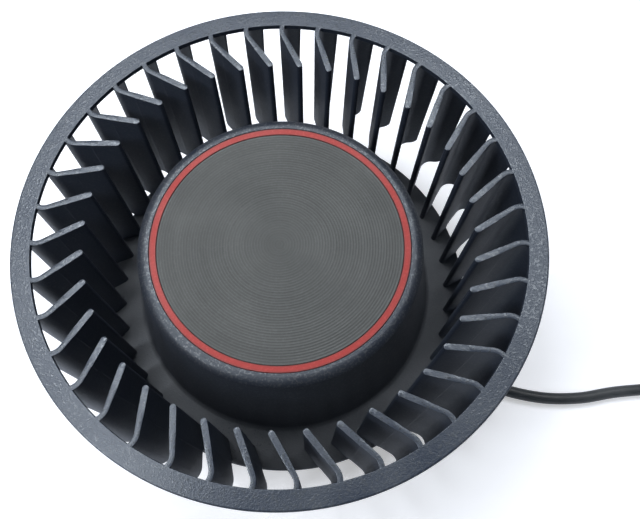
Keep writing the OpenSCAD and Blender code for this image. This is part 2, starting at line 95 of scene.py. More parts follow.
camera_data = bpy.data.cameras.new("camera")
camera_data.sensor_fit = "HORIZONTAL"
camera_data.sensor_width = SENSOR
camera_data.lens = FOCAL_PX / PHOTO_W * SENSOR
camera_data.shift_x = (PHOTO_W / 2 - AXIS_PX[0]) / PHOTO_W
camera_data.shift_y = (AXIS_PX[1] - PHOTO_H / 2) / PHOTO_W
camera_data.clip_start = 0.005
camera = bpy.data.objects.new("camera", camera_data)
turn = Matrix.Rotation(camera_tilt, 4, "X") @ Matrix.Rotation(camera_roll, 4, "Z")
camera.matrix_world = Matrix.Translation(camera_place) @ turn
scene.collection.objects.link(camera)
scene.camera = camera
print("camera: lens %.1f mm" % camera_data.lens)

# %% [markdown]
# ## Node helpers
# Shader trees are easier to read when one call adds a node, sets its options and joins its inputs. The
# others are short names for nodes that come back often.

# %% Node helpers
def add_node(tree, kind, inputs=None, **options):
    """Adds a shader node. An input that is a socket is linked, any other is set as a value."""
    made = tree.nodes.new(kind)
    for option, value in options.items():
        setattr(made, option, value)
    for name, value in (inputs or {}).items():
        if isinstance(value, bpy.types.NodeSocket):
            tree.links.new(value, made.inputs[name])
        else:
            made.inputs[name].default_value = value
    return made


def maths(tree, operation, a, b=0.0, clamp=False):
    """One Math node: operation of a and b, each a socket or a number."""
    return add_node(tree, "ShaderNodeMath", {0: a, 1: b}, operation=operation, use_clamp=clamp).outputs[0]


def remap(tree, value, low, high, to_low=0.0, to_high=1.0):
    """Value stretched from low..high to to_low..to_high and held there."""
    made = add_node(
        tree,
        "ShaderNodeMapRange",
        {"Value": value, "From Min": low, "From Max": high, "To Min": to_low, "To Max": to_high},
    )
    return made.outputs[0]


def object_place(tree):
    """The Object coordinates socket."""
    return add_node(tree, "ShaderNodeTexCoord").outputs["Object"]


# %% [markdown]
# ## Table
# The fan stands on a white table. The floor takes the object's shadow, and what the camera or a reflection
# sees of it is lifted towards white, wholly so some way off, so the table has no visible end.

# %% Floor
def seen_directly(tree, gloss_share):
    """1 for rays from the camera or through glass, the given share for rays from gloss, else 0."""
    rays = add_node(tree, "ShaderNodeLightPath").outputs
    gloss = maths(tree, "MULTIPLY", rays["Is Glossy Ray"], gloss_share)
    total = maths(tree, "ADD", rays["Is Camera Ray"], rays["Is Transmission Ray"])
    return maths(tree, "ADD", total, gloss, clamp=True)


FLOOR_WHITE = (0.78, 0.82, 0.9, 1)
FLOOR_LIFT, GLOSS_SHARE = 0.42, 0.4
FADE_NEAR, FADE_FAR = 0.12, 0.5
FLOOR_HALF = 1.5
floor_mat = bpy.data.materials.new("white table")
floor_mat.use_nodes = True
floor_tree = floor_mat.node_tree
floor_shader = floor_tree.nodes["Principled BSDF"]
floor_shader.inputs["Base Color"].default_value = FLOOR_WHITE
floor_shader.inputs["Roughness"].default_value = 0.8
floor_shader.inputs["Emission Color"].default_value = (1, 1, 1, 1)
floor_place = {0: object_place(floor_tree)}
from_middle = add_node(floor_tree, "ShaderNodeVectorMath", floor_place, operation="LENGTH").outputs["Value"]
fade = remap(floor_tree, from_middle, FADE_NEAR, FADE_FAR, FLOOR_LIFT, 1.0)
floor_lift = maths(floor_tree, "MULTIPLY", seen_directly(floor_tree, GLOSS_SHARE), fade)
floor_tree.links.new(floor_lift, floor_shader.inputs["Emission Strength"])

floor_mesh = bpy.data.meshes.new("floor")
corner = FLOOR_HALF * np.array([[-1, -1, 0], [1, -1, 0], [1, 1, 0], [-1, 1, 0]])
floor_mesh.from_pydata((corner + [0, 0, base_z]).tolist(), [], [[0, 1, 2, 3]])
floor = bpy.data.objects.new("floor", floor_mesh)
floor.data.materials.append(floor_mat)
scene.collection.objects.link(floor)
print("floor: %.0f m wide" % (2 * FLOOR_HALF))

# %% [markdown]
# ## Room
# The room gives a weak, cool fill from all sides. Rays from the camera see plain white instead, so the
# backdrop is white without adding light to the object.

# %% Room
ROOM_COLOUR, ROOM_LIGHT = (0.62, 0.78, 1.0, 1), 0.08
world = bpy.data.worlds.new("room")
world.use_nodes = True
room_tree = world.node_tree
backdrop = room_tree.nodes["Background"]
backdrop.inputs["Color"].default_value = (1, 1, 1, 1)
fill = add_node(room_tree, "ShaderNodeBackground", {"Color": ROOM_COLOUR, "Strength": ROOM_LIGHT})
camera_only = add_node(room_tree, "ShaderNodeLightPath").outputs["Is Camera Ray"]
both = {0: camera_only, 1: fill.outputs[0], 2: backdrop.outputs[0]}
shown = add_node(room_tree, "ShaderNodeMixShader", both)
room_tree.links.new(shown.outputs[0], room_tree.nodes["World Output"].inputs["Surface"])
scene.world = world
scene.view_settings.view_transform = "Standard"
print("room light:", ROOM_LIGHT)

# %% [markdown]
# ## Lamps
# Soft panels hang close above the back, the left and the right, two more far off on the left, and a small
# low one at the left front brings out the glitter of the grain. The right front has no lamp, so flat tops
# turn from pale to dark round the wheel.

# %% Lamps
FAR_Z, NEAR_Z, LOW_Z = 0.9, 0.25, 0.12


def panel(name, low, high, z, radiance):
    """A level soft panel at height z between two corners; its power is radiance times pi times area."""
    (x0, y0), (x1, y1) = low, high
    data = bpy.data.lights.new(name, "AREA")
    data.shape = "RECTANGLE"
    data.size, data.size_y = x1 - x0, y1 - y0
    data.energy = radiance * math.pi * (x1 - x0) * (y1 - y0)
    holder = bpy.data.objects.new(name, data)
    holder.location = ((x0 + x1) / 2, (y0 + y1) / 2, z)
    scene.collection.objects.link(holder)


panel("back panel", (-0.105, 0.105), (0.105, 0.175), NEAR_Z, 9)
panel("left panel", (-0.12, 0.02), (-0.02, 0.12), NEAR_Z, 9)
panel("right panel", (0.035, 0.035), (0.175, 0.105), NEAR_Z, 4)
panel("side panel", (-1.05, -0.6), (-0.75, -0.3), FAR_Z, 28)
panel("far panel", (-1.05, 0.0), (-0.75, 0.3), FAR_Z, 9)
panel("small panel", (-0.078, -0.061), (-0.046, -0.029), LOW_Z, 15)

# %% [markdown]
# ## Surfaces from grids
# Every new shape here is a grid of points. A revolved shape carries an outline round the axis. The corners
# of an outline are rounded with true arcs, and the arcs' normals are kept, so flats stay flat and edges
# still catch the light.

# %% Surfaces from grids
def grid_faces(rows, columns, wrap_rows=False, wrap_columns=False):
    """Quads between neighbouring lines of a grid; a wrapped side joins its last line to its first."""
    i = np.arange(rows if wrap_rows else rows - 1)[:, None]
    j = np.arange(columns if wrap_columns else columns - 1)[None, :]
    i_next, j_next = (i + 1) % rows, (j + 1) % columns
    quads = [i * columns + j, i_next * columns + j, i_next * columns + j_next, i * columns + j_next]
    return np.stack(np.broadcast_arrays(*quads), -1).reshape(-1, 4)


def rounded(corners, radii, steps=6):
    """Closed outline, counter-clockwise, with an arc at each corner, and its outward normals.

    An arc's centre lies on the corner's bisector, at the distance where a circle of that radius touches
    both edges. Its points are the centre plus the radius times a normal that turns evenly from the normal
    of the edge before to that of the edge after. A corner that turns the other way has its arc outside.
    """
    p = np.asarray(corners, float)
    r = np.broadcast_to(np.asarray(radii, float), len(p))
    along = np.roll(p, -1, 0) - p
    along = along / np.linalg.norm(along, axis=1, keepdims=True)
    after = np.stack([along[:, 1], -along[:, 0]], 1)
    before = np.roll(after, 1, 0)
    cosine = (before * after).sum(1)
    bend = np.arctan2(before[:, 0] * after[:, 1] - before[:, 1] * after[:, 0], cosine)
    reach = (np.sign(bend) * r)[:, None]
    centre = p - reach * (before + after) / (1 + cosine)[:, None]
    start = np.arctan2(before[:, 1], before[:, 0])
    angle = start[:, None] + bend[:, None] * np.linspace(0, 1, steps + 1)
    normals = np.stack([np.cos(angle), np.sin(angle)], -1)
    points = centre[:, None] + reach[:, None] * normals
    return points.reshape(-1, 2), normals.reshape(-1, 2)


def spin(pairs, steps):
    """Pairs (radius, height) carried round the axis: x = r cos a, y = r sin a, z = h."""
    a = np.linspace(0, 2 * np.pi, steps, endpoint=False)[:, None]
    height = np.broadcast_to(pairs[:, 1], (steps, len(pairs)))
    return np.stack([pairs[:, 0] * np.cos(a), pairs[:, 0] * np.sin(a), height], -1)


# %% Pieces
def add_piece(name, points, faces, body, slot, finish, normals=None, sharp=None, **masks):
    """Makes a mesh piece that rides on a body, with its finish and its masks."""
    mesh = bpy.data.meshes.new(name)
    mesh.from_pydata(np.asarray(points).reshape(-1, 3).tolist(), [], [list(f) for f in faces])
    for mask, values in masks.items():
        mesh.attributes.new(mask, "FLOAT", "POINT").data.foreach_set("value", np.ravel(values))
    if normals is None:
        close_seams(mesh)
    mesh.shade_smooth()
    if sharp is not None:
        mesh.set_sharp_from_angle(angle=math.radians(sharp))
    if normals is not None:
        mesh.normals_split_custom_set_from_vertices(normals.reshape(-1, 3).tolist())
    mesh.materials.append(finish)
    piece = bpy.data.objects.new(name, mesh)
    scene.collection.objects.link(piece)
    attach(piece, body)
    triangles = sum(len(f.vertices) - 2 for f in mesh.polygons)
    print("%s: %d triangles" % (name, triangles))
    return piece


def close_seams(mesh, distance=1e-7):
    """Merges points that fall together at poles and seams, and drops the faces left without area."""
    work = bmesh.new()
    work.from_mesh(mesh)
    bmesh.ops.remove_doubles(work, verts=work.verts, dist=distance)
    bmesh.ops.dissolve_degenerate(work, edges=work.edges, dist=distance)
    work.to_mesh(mesh)
    work.free()


def revolved(name, outline, normals, body, slot, finish, steps=256, dust_and_light_below=0.0):
    """A piece made by carrying a closed outline round the axis.

    Its wear-and-glint mask is 1 where the outline's normal stands halfway between level and upright, as it
    does on the crown of a rounded corner, and falls to 0 on flats; there the plastic turns paler, which is
    wear and a painted glint. Its tops mask is how far the normal looks up, and its dust-and-light mask is
    the same below the height given, where the paler dust colour is also a painted light.
    """
    faces = grid_faces(steps, len(outline), True, True)
    crown = (1 - np.abs(normals).max(1)) / (1 - math.sqrt(0.5))
    tops = np.clip(normals[:, 1], 0, 1)
    lines = {"wear_and_glint": np.clip(crown, 0, 1), "tops": tops, "dust_and_light": tops * (outline[:, 1] < dust_and_light_below)}
    masks = {mask: np.broadcast_to(line, (steps, len(outline))) for mask, line in lines.items()}
    return add_piece(name, spin(outline, steps), faces, body, slot, finish, spin(normals, steps), **masks)


# %% [markdown]
# ## Moulded plastic
# The wheel is glass-filled nylon. Its mould was spark-eroded, so the skin has a fine pebble that glitters
# where a lamp mirrors in it. Faces drawn out of the mould keep less of the pebble and are duller, and their
# fewer pale flecks paint a shade on them. One group makes the pebble and its faint blotches, another the
# scratches and smudges of handling. Edges rub paler, as wear and a painted glint, and a paler dust settles
# on the low flare, partly a painted light on it, by masks that each new piece stores on its points.

# %% Group helpers
def new_group(name, inputs, outputs):
    """A shader node group with named number inputs and outputs."""
    group = bpy.data.node_groups.new(name, "ShaderNodeTree")
    for label, value in inputs.items():
        socket = group.interface.new_socket(label, in_out="INPUT", socket_type="NodeSocketFloat")
        socket.default_value = value
    for label in outputs:
        group.interface.new_socket(label, in_out="OUTPUT", socket_type="NodeSocketFloat")
    entry = group.nodes.new("NodeGroupInput").outputs
    leave = group.nodes.new("NodeGroupOutput").inputs
    return group, entry, leave


def noise(tree, scale, detail=2.0, rough=0.5, vector=None):
    """A Noise texture's value at the Object coordinates, or at the given vector."""
    place = object_place(tree) if vector is None else vector
    made = add_node(
        tree,
        "ShaderNodeTexNoise",
        {"Vector": place, "Scale": scale, "Detail": detail, "Roughness": rough},
    )
    return made.outputs["Fac"]


# %% Grain
# A mask rises from 0 to 1 between the two noise values of its cut.
FLECK_CUT, BLOTCH_CUT = (0.54, 0.64), (0.35, 0.7)
BLOTCHES_PER_METRE = 140.0
CROWN_SCALE = 0.6
grain_group, grain_in, grain_out = new_group(
    "spark_grain", {"Grains per metre": 5200.0}, ["Height", "Fleck", "Blotch"]
)
pebble = noise(grain_group, grain_in["Grains per metre"], 1.0)
crown_scale = maths(grain_group, "MULTIPLY", grain_in["Grains per metre"], CROWN_SCALE)
crown = noise(grain_group, crown_scale, 1.0)
grain_group.links.new(maths(grain_group, "ADD", pebble, crown), grain_out["Height"])
grain_group.links.new(remap(grain_group, crown, *FLECK_CUT), grain_out["Fleck"])
blotches = noise(grain_group, BLOTCHES_PER_METRE, 4.0, 0.6)
grain_group.links.new(remap(grain_group, blotches, *BLOTCH_CUT), grain_out["Blotch"])
print("group:", grain_group.name)


# %% Handling marks
HAIR_CUT, PATCH_CUT, SMUDGE_CUT = (0.66, 0.74), (0.45, 0.62), (0.42, 0.68)
PATCHES_PER_METRE, SMUDGES_PER_METRE = 90.0, 70.0


def stretched(tree, turn_z, scale):
    """Object coordinates turned about the axis, then stretched by a factor for each direction."""
    rotation = (0.0, 0.0, math.radians(turn_z))
    place = {"Vector": object_place(tree), "Rotation": rotation, "Scale": scale}
    return add_node(tree, "ShaderNodeMapping", place).outputs[0]


mark_group, mark_in, mark_out = new_group(
    "handling_marks", {"Lines per metre": 2400.0}, ["Scratch", "Smudge"]
)


def hair_line(turn_z, scale):
    """Mask of fine lines: the crests of a noise that is drawn out in one direction."""
    crests = noise(mark_group, mark_in["Lines per metre"], 1.0, 0.5, stretched(mark_group, turn_z, scale))
    return remap(mark_group, crests, *HAIR_CUT)


hair_lines = [hair_line(38, (0.05, 1, 1)), hair_line(-24, (0.08, 1, 1))]
patches = remap(mark_group, noise(mark_group, PATCHES_PER_METRE), *PATCH_CUT)
hair = maths(mark_group, "MULTIPLY", maths(mark_group, "MAXIMUM", *hair_lines), patches)
mark_group.links.new(hair, mark_out["Scratch"])
smudges = noise(mark_group, SMUDGES_PER_METRE, 3.0, 0.6)
mark_group.links.new(remap(mark_group, smudges, *SMUDGE_CUT), mark_out["Smudge"])
print("group:", mark_group.name)


# %% Material helpers
def place_group(tree, group, **values):
    """Places a group in a material and sets its inputs, with _ for a space in their names."""
    made = add_node(tree, "ShaderNodeGroup", node_tree=group)
    for label, value in values.items():
        made.inputs[label.replace("_", " ")].default_value = value
    return made.outputs


def mixed(tree, factor, a, b):
    """Colour a turned into colour b by factor."""
    made = add_node(tree, "ShaderNodeMix", data_type="RGBA")
    for socket, value in zip([made.inputs[0], made.inputs[6], made.inputs[7]], [factor, a, b]):
        if isinstance(value, bpy.types.NodeSocket):
            tree.links.new(value, socket)
        else:
            socket.default_value = value
    return made.outputs[2]


def new_material(name, **fixed):
    """A material and its Principled shader, with fixed values on the sockets named, _ for a space."""
    made = bpy.data.materials.new(name)
    made.use_nodes = True
    shader = made.node_tree.nodes["Principled BSDF"]
    for label, value in fixed.items():
        shader.inputs[label.replace("_", " ")].default_value = value
    return made, made.node_tree, shader


def bump(tree, shader, height, depth):
    """Joins a height to the shader's normal; depth is in metres."""
    made = add_node(tree, "ShaderNodeBump", {"Height": height, "Strength": 1.0, "Distance": depth})
    tree.links.new(made.outputs[0], shader.inputs["Normal"])


def colour(red, green, blue):
    """A colour with full alpha."""
    return (red, green, blue, 1.0)


# %% [markdown]
# ## Marks of making
# Metal shows how it was made: fine rings follow a lathe tool, streaks run up a drawn cup, sheets show as
# lines in a stack, and wire as rows of turns. Each mark is a group, so all parts of that kind share it.

# %% Marks of making
def upright_parts(tree):
    """Radius from the axis and height, as sockets: r is the root of x squared plus y squared."""
    x, y, z = add_node(tree, "ShaderNodeSeparateXYZ", {0: object_place(tree)}).outputs
    squares = maths(tree, "ADD", maths(tree, "MULTIPLY", x, x), maths(tree, "MULTIPLY", y, y))
    return maths(tree, "SQRT", squares), z


def joined(tree, x, y):
    """A vector of two values and zero."""
    return add_node(tree, "ShaderNodeCombineXYZ", {"X": x, "Y": y}).outputs[0]


lathe_group, lathe_in, lathe_out = new_group("lathe_rings", {"Rings per metre": 9000.0}, ["Height"])
lathe_r, lathe_z = upright_parts(lathe_group)
rings = noise(lathe_group, lathe_in["Rings per metre"], 3.0, 0.6, joined(lathe_group, lathe_r, lathe_z))
lathe_group.links.new(rings, lathe_out["Height"])

drawn_group, drawn_in, drawn_out = new_group("drawn_streaks", {"Streaks per metre": 2500.0}, ["Height"])
drawn_place = stretched(drawn_group, 0, (1, 1, 0.04))
streaks = noise(drawn_group, drawn_in["Streaks per metre"], 3.0, 0.6, drawn_place)
drawn_group.links.new(streaks, drawn_out["Height"])


def row_group(name, pitch, by_radius):
    """Equal rows along the radius or the height: each has a rounded Height and its own Tone."""
    group, entry, leave = new_group(name, {"Pitch": pitch}, ["Height", "Tone"])
    radius, height = upright_parts(group)
    count = maths(group, "DIVIDE", radius if by_radius else height, entry["Pitch"])
    half_turn = maths(group, "MULTIPLY", maths(group, "FRACT", count), math.pi)
    group.links.new(maths(group, "SINE", half_turn), leave["Height"])
    row = {"W": maths(group, "FLOOR", count)}
    own = add_node(group, "ShaderNodeTexWhiteNoise", row, noise_dimensions="1D")
    group.links.new(own.outputs["Value"], leave["Tone"])
    return group


sheet_group = row_group("sheet_stack", 0.5 * MM, by_radius=False)
wire_group = row_group("wire_turns", 0.22 * MM, by_radius=True)
groove_pitch, groove_depth = 0.405 * MM, 0.025 * MM
groove_group = row_group("face_grooves", groove_pitch, by_radius=True)
print("groups:", sorted(g.name for g in bpy.data.node_groups))

# %% [markdown]
# ## Moulded finishes
# One recipe makes every moulded plastic: a dark and a light shade mixed by the grain, a paler shade on
# scratches and on edges, where it is wear and a painted glint, and dust by its mask, partly a painted light.
# The wheel has two finishes, because its hub is duller than the blades and the ring in the photograph, and
# the hub's darker shades paint the shade that falls on it.

# %% Moulded finishes
# The dust colour is paler than the plastic: real dust, and a painted light on the low flare.
DUST_AND_LIGHT, DUST_AND_LIGHT_THIN = colour(0.104, 0.111, 0.122), 0.75
TOPS_FROM = 0.3
TONE_SHARE, BLOTCH_SHARE = 0.7, 0.4
RUB_AND_GLINT_LOW, RUB_AND_GLINT_HIGH, SCRATCH_SHARE = 0.1, 0.9, 0.3
FLANK_DULL, SMEAR, FLECK_GLOSS = 0.3, 0.06, 0.18


def stored(tree, mask):
    """A mask that a piece stores on its points, 0 on a piece without it."""
    return add_node(tree, "ShaderNodeAttribute", attribute_name=mask).outputs["Fac"]


def moulded(name, dark, light, worn, rough, grains, depth, flank=1.0, **fixed):
    """Moulded plastic: dark between pebbles, light on their crowns, paler on scratches and on edges, where
    the paler colour is wear and a painted glint.

    Faces that look up carry the whole grain, and faces drawn out of the mould the share called flank, so
    their fewer pale flecks also paint a shade on them.
    """
    made, tree, shader = new_material(name, **fixed)
    grain = place_group(tree, grain_group, Grains_per_metre=grains)
    marks = place_group(tree, mark_group)
    share = remap(tree, stored(tree, "tops"), TOPS_FROM, 1, flank, 1.0)
    patchy = maths(tree, "ADD", grain["Fleck"], maths(tree, "MULTIPLY", grain["Blotch"], BLOTCH_SHARE))
    # Faces that don't look up keep only the flank share of the pale flecks, so they are darker: fewer
    # flecks, and a painted shade on the flanks.
    tone = maths(tree, "MULTIPLY", patchy, maths(tree, "MULTIPLY", share, TONE_SHARE))
    # Crowns of rounded edges turn paler: wear, and a painted glint.
    rub_and_glint = remap(tree, grain["Fleck"], 0, 1, RUB_AND_GLINT_LOW, RUB_AND_GLINT_HIGH)
    rubbed_and_glint = maths(tree, "MULTIPLY", stored(tree, "wear_and_glint"), rub_and_glint)
    scratched = maths(tree, "MULTIPLY", marks["Scratch"], SCRATCH_SHARE)
    paler = maths(tree, "MAXIMUM", rubbed_and_glint, scratched)
    clean = mixed(tree, paler, mixed(tree, tone, dark, light), worn)
    # Paler dust on the low up-facing faces: real dust, and a painted light there.
    dust_and_light_cover = remap(tree, grain["Blotch"], 0, 1, DUST_AND_LIGHT_THIN, 1.0)
    dusty_and_lit = maths(tree, "MULTIPLY", stored(tree, "dust_and_light"), dust_and_light_cover)
    tree.links.new(mixed(tree, dusty_and_lit, clean, DUST_AND_LIGHT), shader.inputs["Base Color"])
    dull = remap(tree, share, 0, 1, rough + FLANK_DULL, rough)
    smeared = maths(tree, "ADD", dull, maths(tree, "MULTIPLY", marks["Smudge"], SMEAR))
    gloss = maths(tree, "MULTIPLY", grain["Fleck"], maths(tree, "MULTIPLY", share, FLECK_GLOSS))
    tree.links.new(maths(tree, "SUBTRACT", smeared, gloss), shader.inputs["Roughness"])
    bump(tree, shader, maths(tree, "MULTIPLY", grain["Height"], share), depth)
    return made


sparked = dict(grains=5200, depth=2.4e-5, flank=0.2, Specular_Tint=colour(0.82, 0.905, 1.0))
charcoal = moulded(
    "charcoal plastic",
    dark=colour(0.0095, 0.0155, 0.031),
    light=colour(0.069, 0.078, 0.091),
    worn=colour(0.042, 0.048, 0.056),
    rough=0.36,
    Specular_IOR_Level=0.85,
    **sparked,
)
# The hub's darker shades are a painted shade on it; its higher roughness is its duller finish.
dull_shaded_charcoal = moulded(
    "dull charcoal plastic with painted shade",
    dark=colour(0.005, 0.0085, 0.018),
    light=colour(0.068, 0.073, 0.08),
    worn=colour(0.03, 0.033, 0.038),
    rough=0.44,
    Specular_IOR_Level=0.6,
    **sparked,
)
print("plastics ready")

# %% [markdown]
# ## Ring
# The ring ties the blade roots together. It is a flat band with small rounds, so an outline of four
# rounded corners carried round the axis is all it needs.

# %% Ring
ring_outline, ring_normals = rounded(
    [(ring_in, ring_z), (rim_r, ring_z), (rim_r, top_z), (ring_in, top_z)],
    np.array([0.12, 0.2, 0.28, 0.1]) * MM,
)
ring_steps = 384
ring = revolved("wheel_ring", ring_outline, ring_normals, "rotor", "charcoal_plastic", charcoal, ring_steps)
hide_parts("impeller_ring")

# %% [markdown]
# ## Hub and flare
# The hub is a cup that widens downwards, creases, and runs out into the flare that carries the blades.
# The outline follows the construction, with the crease and the flare's edge rounded as a mould rounds them.

# %% Hub and flare
hub_r, hub_round, hub_wall = 21.1 * MM, 1.6 * MM, 1.6 * MM
foot_r, foot_z = 24.2 * MM, 7.7 * MM
flare_r, flare_fall, flare_t = 30.9 * MM, 1.1 * MM, 1.5 * MM
wall_slope = (foot_r - hub_r) / (hub_z - hub_round - foot_z)


def wall_at(z):
    """Radius of the hub's outer wall at height z."""
    return hub_r + (hub_z - hub_round - z) * wall_slope


def flare_at(r):
    """Height of the flare's upper face at radius r."""
    return foot_z - flare_fall * (r - foot_r) / (flare_r - foot_r)


under_z = foot_z - flare_t
hub_outline, hub_normals = rounded(
    [
        (wall_at(yoke_top) - hub_wall, yoke_top),
        (wall_at(under_z) - hub_wall, under_z),
        (flare_r, flare_at(flare_r) - flare_t),
        (flare_r, flare_at(flare_r)),
        (foot_r, foot_z),
        (wall_at(hub_z), hub_z),
        (accent_r + slip, hub_z),
        (accent_r + slip, inlay_z),
        (bush_neck_r + slip, inlay_z),
        (bush_neck_r + slip, yoke_top),
    ],
    np.array([0.4, 0.3, 0.2, 0.25, 1.0, 1.5, 0.06, 0.05, 0.05, 0.05]) * MM,
    steps=8,
)
# Below this height the flare's up-facing faces take the paler dust colour, which is also a painted light.
dust_and_light_z = foot_z + 1.0 * MM
hub = revolved(
    "wheel_hub", hub_outline, hub_normals, "rotor", "charcoal_plastic", dull_shaded_charcoal, dust_and_light_below=dust_and_light_z
)
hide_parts("impeller_hub")

# %% [markdown]
# ## Hub ribs
# Inside the cup, twelve upright ribs hold the steel yoke in the middle. Each is a plain slab from the yoke
# into the wall, so eight points a rib are enough.

# %% Hub ribs
rib_count, rib_half, rib_rise = 12, 0.6 * MM, 0.5 * MM
rib_points = 8
rib_angle = np.arange(rib_count) * 2 * np.pi / rib_count


def rib_grid():
    """Twelve upright slabs: a four-cornered side view (radius, height) at both half thicknesses."""
    sink = hub_wall / 2
    low, high = yoke_low, yoke_top + rib_rise
    inner = yoke_r + slip
    corners = [(inner, low), (wall_at(low) - sink, low), (wall_at(high) - sink, high), (inner, high)]
    side = np.array(corners)[None, :, None, :]
    across = np.array([-rib_half, rib_half])[None, None, :]
    c, d = np.cos(rib_angle)[:, None, None], np.sin(rib_angle)[:, None, None]
    x, z = side[..., 0], np.broadcast_to(side[..., 1], (rib_count, 4, 2))
    return np.stack([x * c - across * d, x * d + across * c, z], -1)


rib_sides = np.array([[0, 2, 3, 1], [2, 4, 5, 3], [4, 6, 7, 5], [6, 0, 1, 7], [0, 6, 4, 2], [1, 3, 5, 7]])
rib_faces = (rib_sides[None] + rib_points * np.arange(rib_count)[:, None, None]).reshape(-1, 4)
ribs = add_piece("hub_ribs", rib_grid(), rib_faces, "rotor", "charcoal_plastic", charcoal, sharp=30)
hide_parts("impeller_hub")

# %% [markdown]
# ## Blades
# A blade is a thin slab on a bent line: straight and leaning from its tip, bent near the ring, then a root
# that hooks out under it. Stations along that line carry a section with rounded edges. The lower chain of
# points follows the foot in the flare, the notch over the flare's edge, the free lower edge and the drafted
# outer edge.

# %% Blade line
blade_count, blade_phase = 39, math.radians(4.4)
blade_lean, blade_cross, blade_hook = np.radians([25.5, 17, 49])
bend_r = 2.3 * MM
eye_r = 27.4 * MM
shutoff_r, notch_r = 31.1 * MM, 30.7 * MM
half_in, half_out = 0.45 * MM, 0.37 * MM
notch_rise, rim_gap, blade_draft = 1.4 * MM, 0.2 * MM, math.radians(1.5)
blade_low, blade_corner = flare_at(notch_r) + notch_rise, 1.0 * MM
edge_top_r = rim_r - rim_gap
edge_low_r = edge_top_r - (ring_z - blade_low) * math.tan(blade_draft)
bend_c = np.array([ring_in, 0]) - bend_r * np.array([math.sin(blade_cross), math.cos(blade_cross)])
bend_l = bend_r * (blade_lean + blade_hook)


def line_at(s):
    """Point and left-hand normal of the blade's middle line at distance s from the start of the bend.

    Below 0 it is straight, then an arc whose angle falls as s / radius, then straight along the root.
    """
    s = np.asarray(s, float)[..., None]
    angle = math.pi / 2 + blade_lean - np.clip(s, 0, bend_l) / bend_r
    normal = np.concatenate([np.cos(angle), np.sin(angle)], -1)
    ahead = np.stack([normal[..., 1], -normal[..., 0]], -1)
    beyond = np.minimum(s, 0) + np.maximum(s - bend_l, 0)
    return bend_c + bend_r * normal + beyond * ahead, normal


def reaches(r, start, aside=0.0):
    """Distance s at which a line aside from the straight part through s = start passes radius r."""
    middle, normal = line_at(start)
    near = middle @ np.array([normal[1], -normal[0]])
    place = middle + np.multiply.outer(aside, normal)
    return start - near + np.sqrt(near**2 - (place**2).sum(-1) + r * r)


tip_s, step_s, notch_s = [reaches(r, 0.0) for r in (eye_r, shutoff_r, notch_r)]
low_s, top_s = [reaches(r, bend_l) for r in (edge_low_r, edge_top_r)]
print("blade line: %.1f mm" % ((low_s - tip_s) / MM))

# %% [markdown]
# ## One blade, then all
# One blade is worked out where its middle line passes under the ring's inner edge on the X axis. All blades
# are its points turned about the axis, in one array, so a change to the line or the section reaches each.

# %% Lower edge of a blade
SINK = 0.5 * MM
STEP_W = 0.06 * MM
NICK = 0.03 * MM
quarter = np.linspace(0, np.pi / 2, 6)


def lower_chain():
    """Stations along a blade's lower edge: distance s, height z and the edge's outward direction."""
    tip = tip_s + half_in * (1 - np.cos(quarter))
    inner = np.linspace(tip[-1], notch_s, 6)[1:]
    foot_s = np.concatenate([tip, inner])
    foot_z_here = flare_at(np.linalg.norm(line_at(foot_s)[0], axis=-1)) - SINK
    down = np.broadcast_to([0.0, -1.0], (len(foot_s), 2))
    foot = np.column_stack([foot_s, foot_z_here, down])
    wall = np.array([[notch_s, foot_z_here[-1], 1, 0]])
    turn_in = np.pi - quarter
    hollow = np.column_stack([
        notch_s + blade_corner * (1 + np.cos(turn_in)),
        blade_low - blade_corner * (1 - np.sin(turn_in)),
        -np.cos(turn_in),
        -np.sin(turn_in),
    ])
    free_s = np.unique(np.concatenate([
        np.linspace(notch_s + blade_corner, 0, 5)[1:],
        np.linspace(0, bend_l, 15),
    ]))
    free = np.column_stack([free_s, np.full_like(free_s, blade_low), 0 * free_s, -np.ones_like(free_s)])
    corner = np.column_stack([
        low_s - blade_corner * (1 - np.sin(quarter)),
        blade_low + blade_corner * (1 - np.cos(quarter)),
        np.sin(quarter),
        -np.cos(quarter),
    ])
    end = np.array([[top_s, ring_z + SINK, 1, 0]])
    return np.concatenate([foot, wall, hollow, free, corner, end])


# %% Blade grid
ROOT_SINK, TOP_GAP = 0.2 * MM, 0.01 * MM
EDGE_SHARE = 0.6


def half_width(s):
    """Half the thickness at s: a round tip, full to the shut-off line, a nick there, thinner after."""
    x = np.clip(s - tip_s, 0, half_in)
    nose = np.sqrt(np.maximum(half_in**2 - (half_in - x) ** 2, 0))
    after = np.interp(s, [step_s, 0], [half_in - NICK, half_out])
    return np.where(s <= step_s, nose, after)


def with_step(chain):
    """Adds the shut-off step: stations at both sides of it, with the chain's other values between them."""
    order = np.searchsorted(chain[:, 0], step_s)
    extra = np.repeat(chain[order : order + 1], 2, 0)
    extra[:, 0] = [step_s, step_s + STEP_W]
    extra[:, 1] = np.interp(extra[:, 0], chain[order - 1 : order + 1, 0], chain[order - 1 : order + 1, 1])
    return np.insert(chain, [order, order], extra, axis=0)


